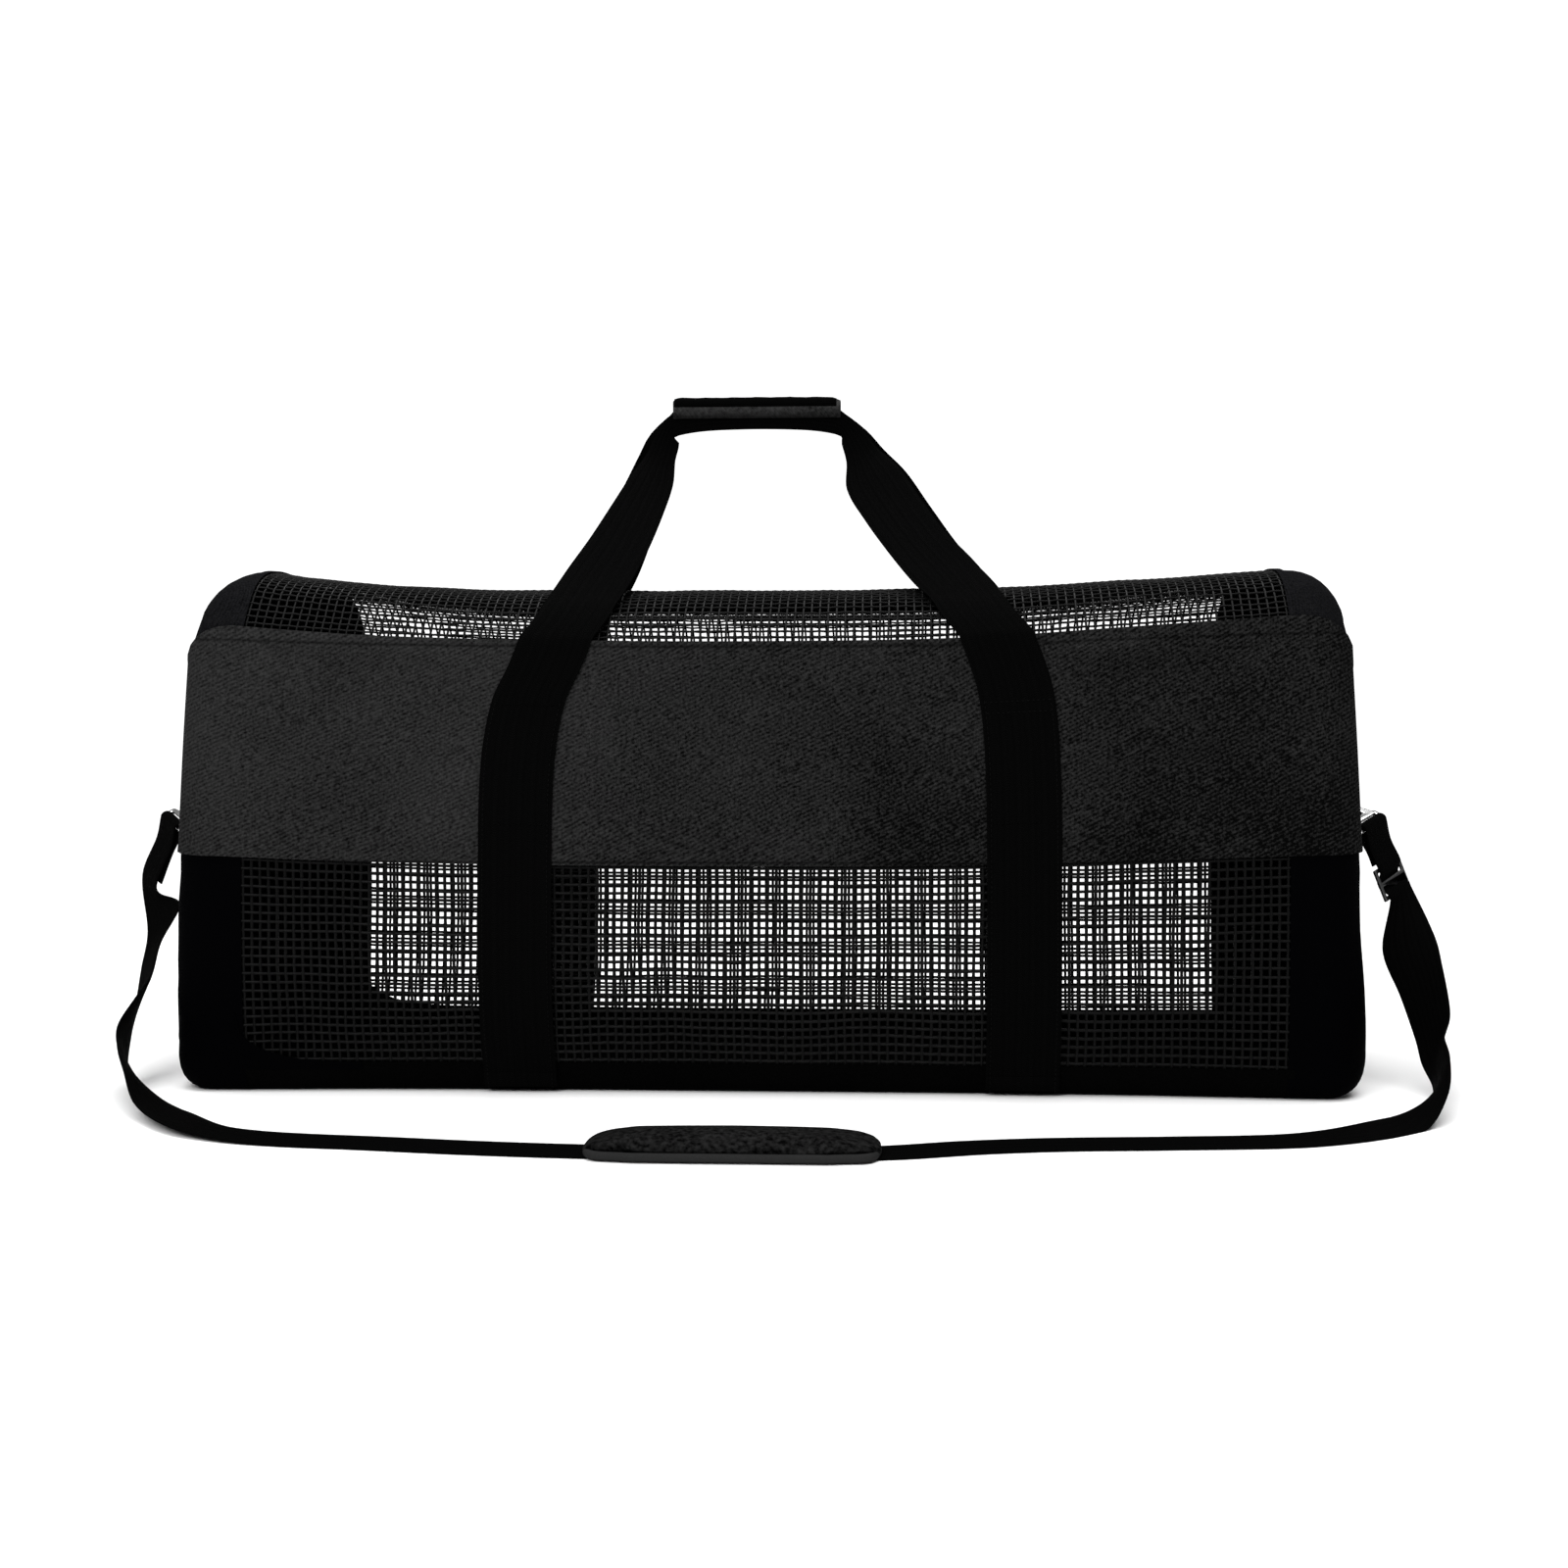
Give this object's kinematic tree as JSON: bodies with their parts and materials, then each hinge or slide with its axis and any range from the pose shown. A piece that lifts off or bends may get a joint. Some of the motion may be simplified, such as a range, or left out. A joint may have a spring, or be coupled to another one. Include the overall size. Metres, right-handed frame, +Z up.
{
  "type": "mesh dive gear bag",
  "caption": "Large rectangular duffel with net sides and top, cloth bands and ends, a zip along the top, joined webbing handles and a padded shoulder strap laid in front.",
  "frame": {"origin": "centre of the flat underside of the base, where the bag stands", "axes": "+X along the length to the right of the front, -Y out of the front, +Z up"},
  "size_m": [0.962, 0.5884, 0.4995],
  "materials": {
    "net": "coated open net, satin",
    "woven_band": "charcoal woven cloth, matt",
    "cap_cloth": "black cloth with a blue cast, matt",
    "base_cloth": "black coated cloth",
    "webbing": "black woven webbing",
    "ring_metal": "bright plated metal",
    "slider_metal": "plated metal",
    "pad_cloth": "napped dark grey cloth over foam"
  },
  "bodies": {
    "root": {"front_mesh": "net", "rear_mesh": "net", "top_mesh_front": "net", "top_mesh_rear": "net", "base_panel": "base_cloth", "front_band": "woven_band", "rear_band": "woven_band", "end_cap_left": "cap_cloth", "end_cap_right": "cap_cloth", "zip_tape_front": "webbing", "zip_tape_rear": "webbing", "zip_chain": "webbing", "zip_slider": "slider_metal", "front_handle": "webbing", "rear_handle": "webbing", "handle_wrap": "webbing", "strap_ring_left": "ring_metal", "strap_ring_right": "ring_metal", "ring_tab_left": "webbing", "ring_tab_right": "webbing", "shoulder_strap": "webbing", "strap_slider": "slider_metal", "shoulder_pad": "pad_cloth"}
  },
  "joints": []
}
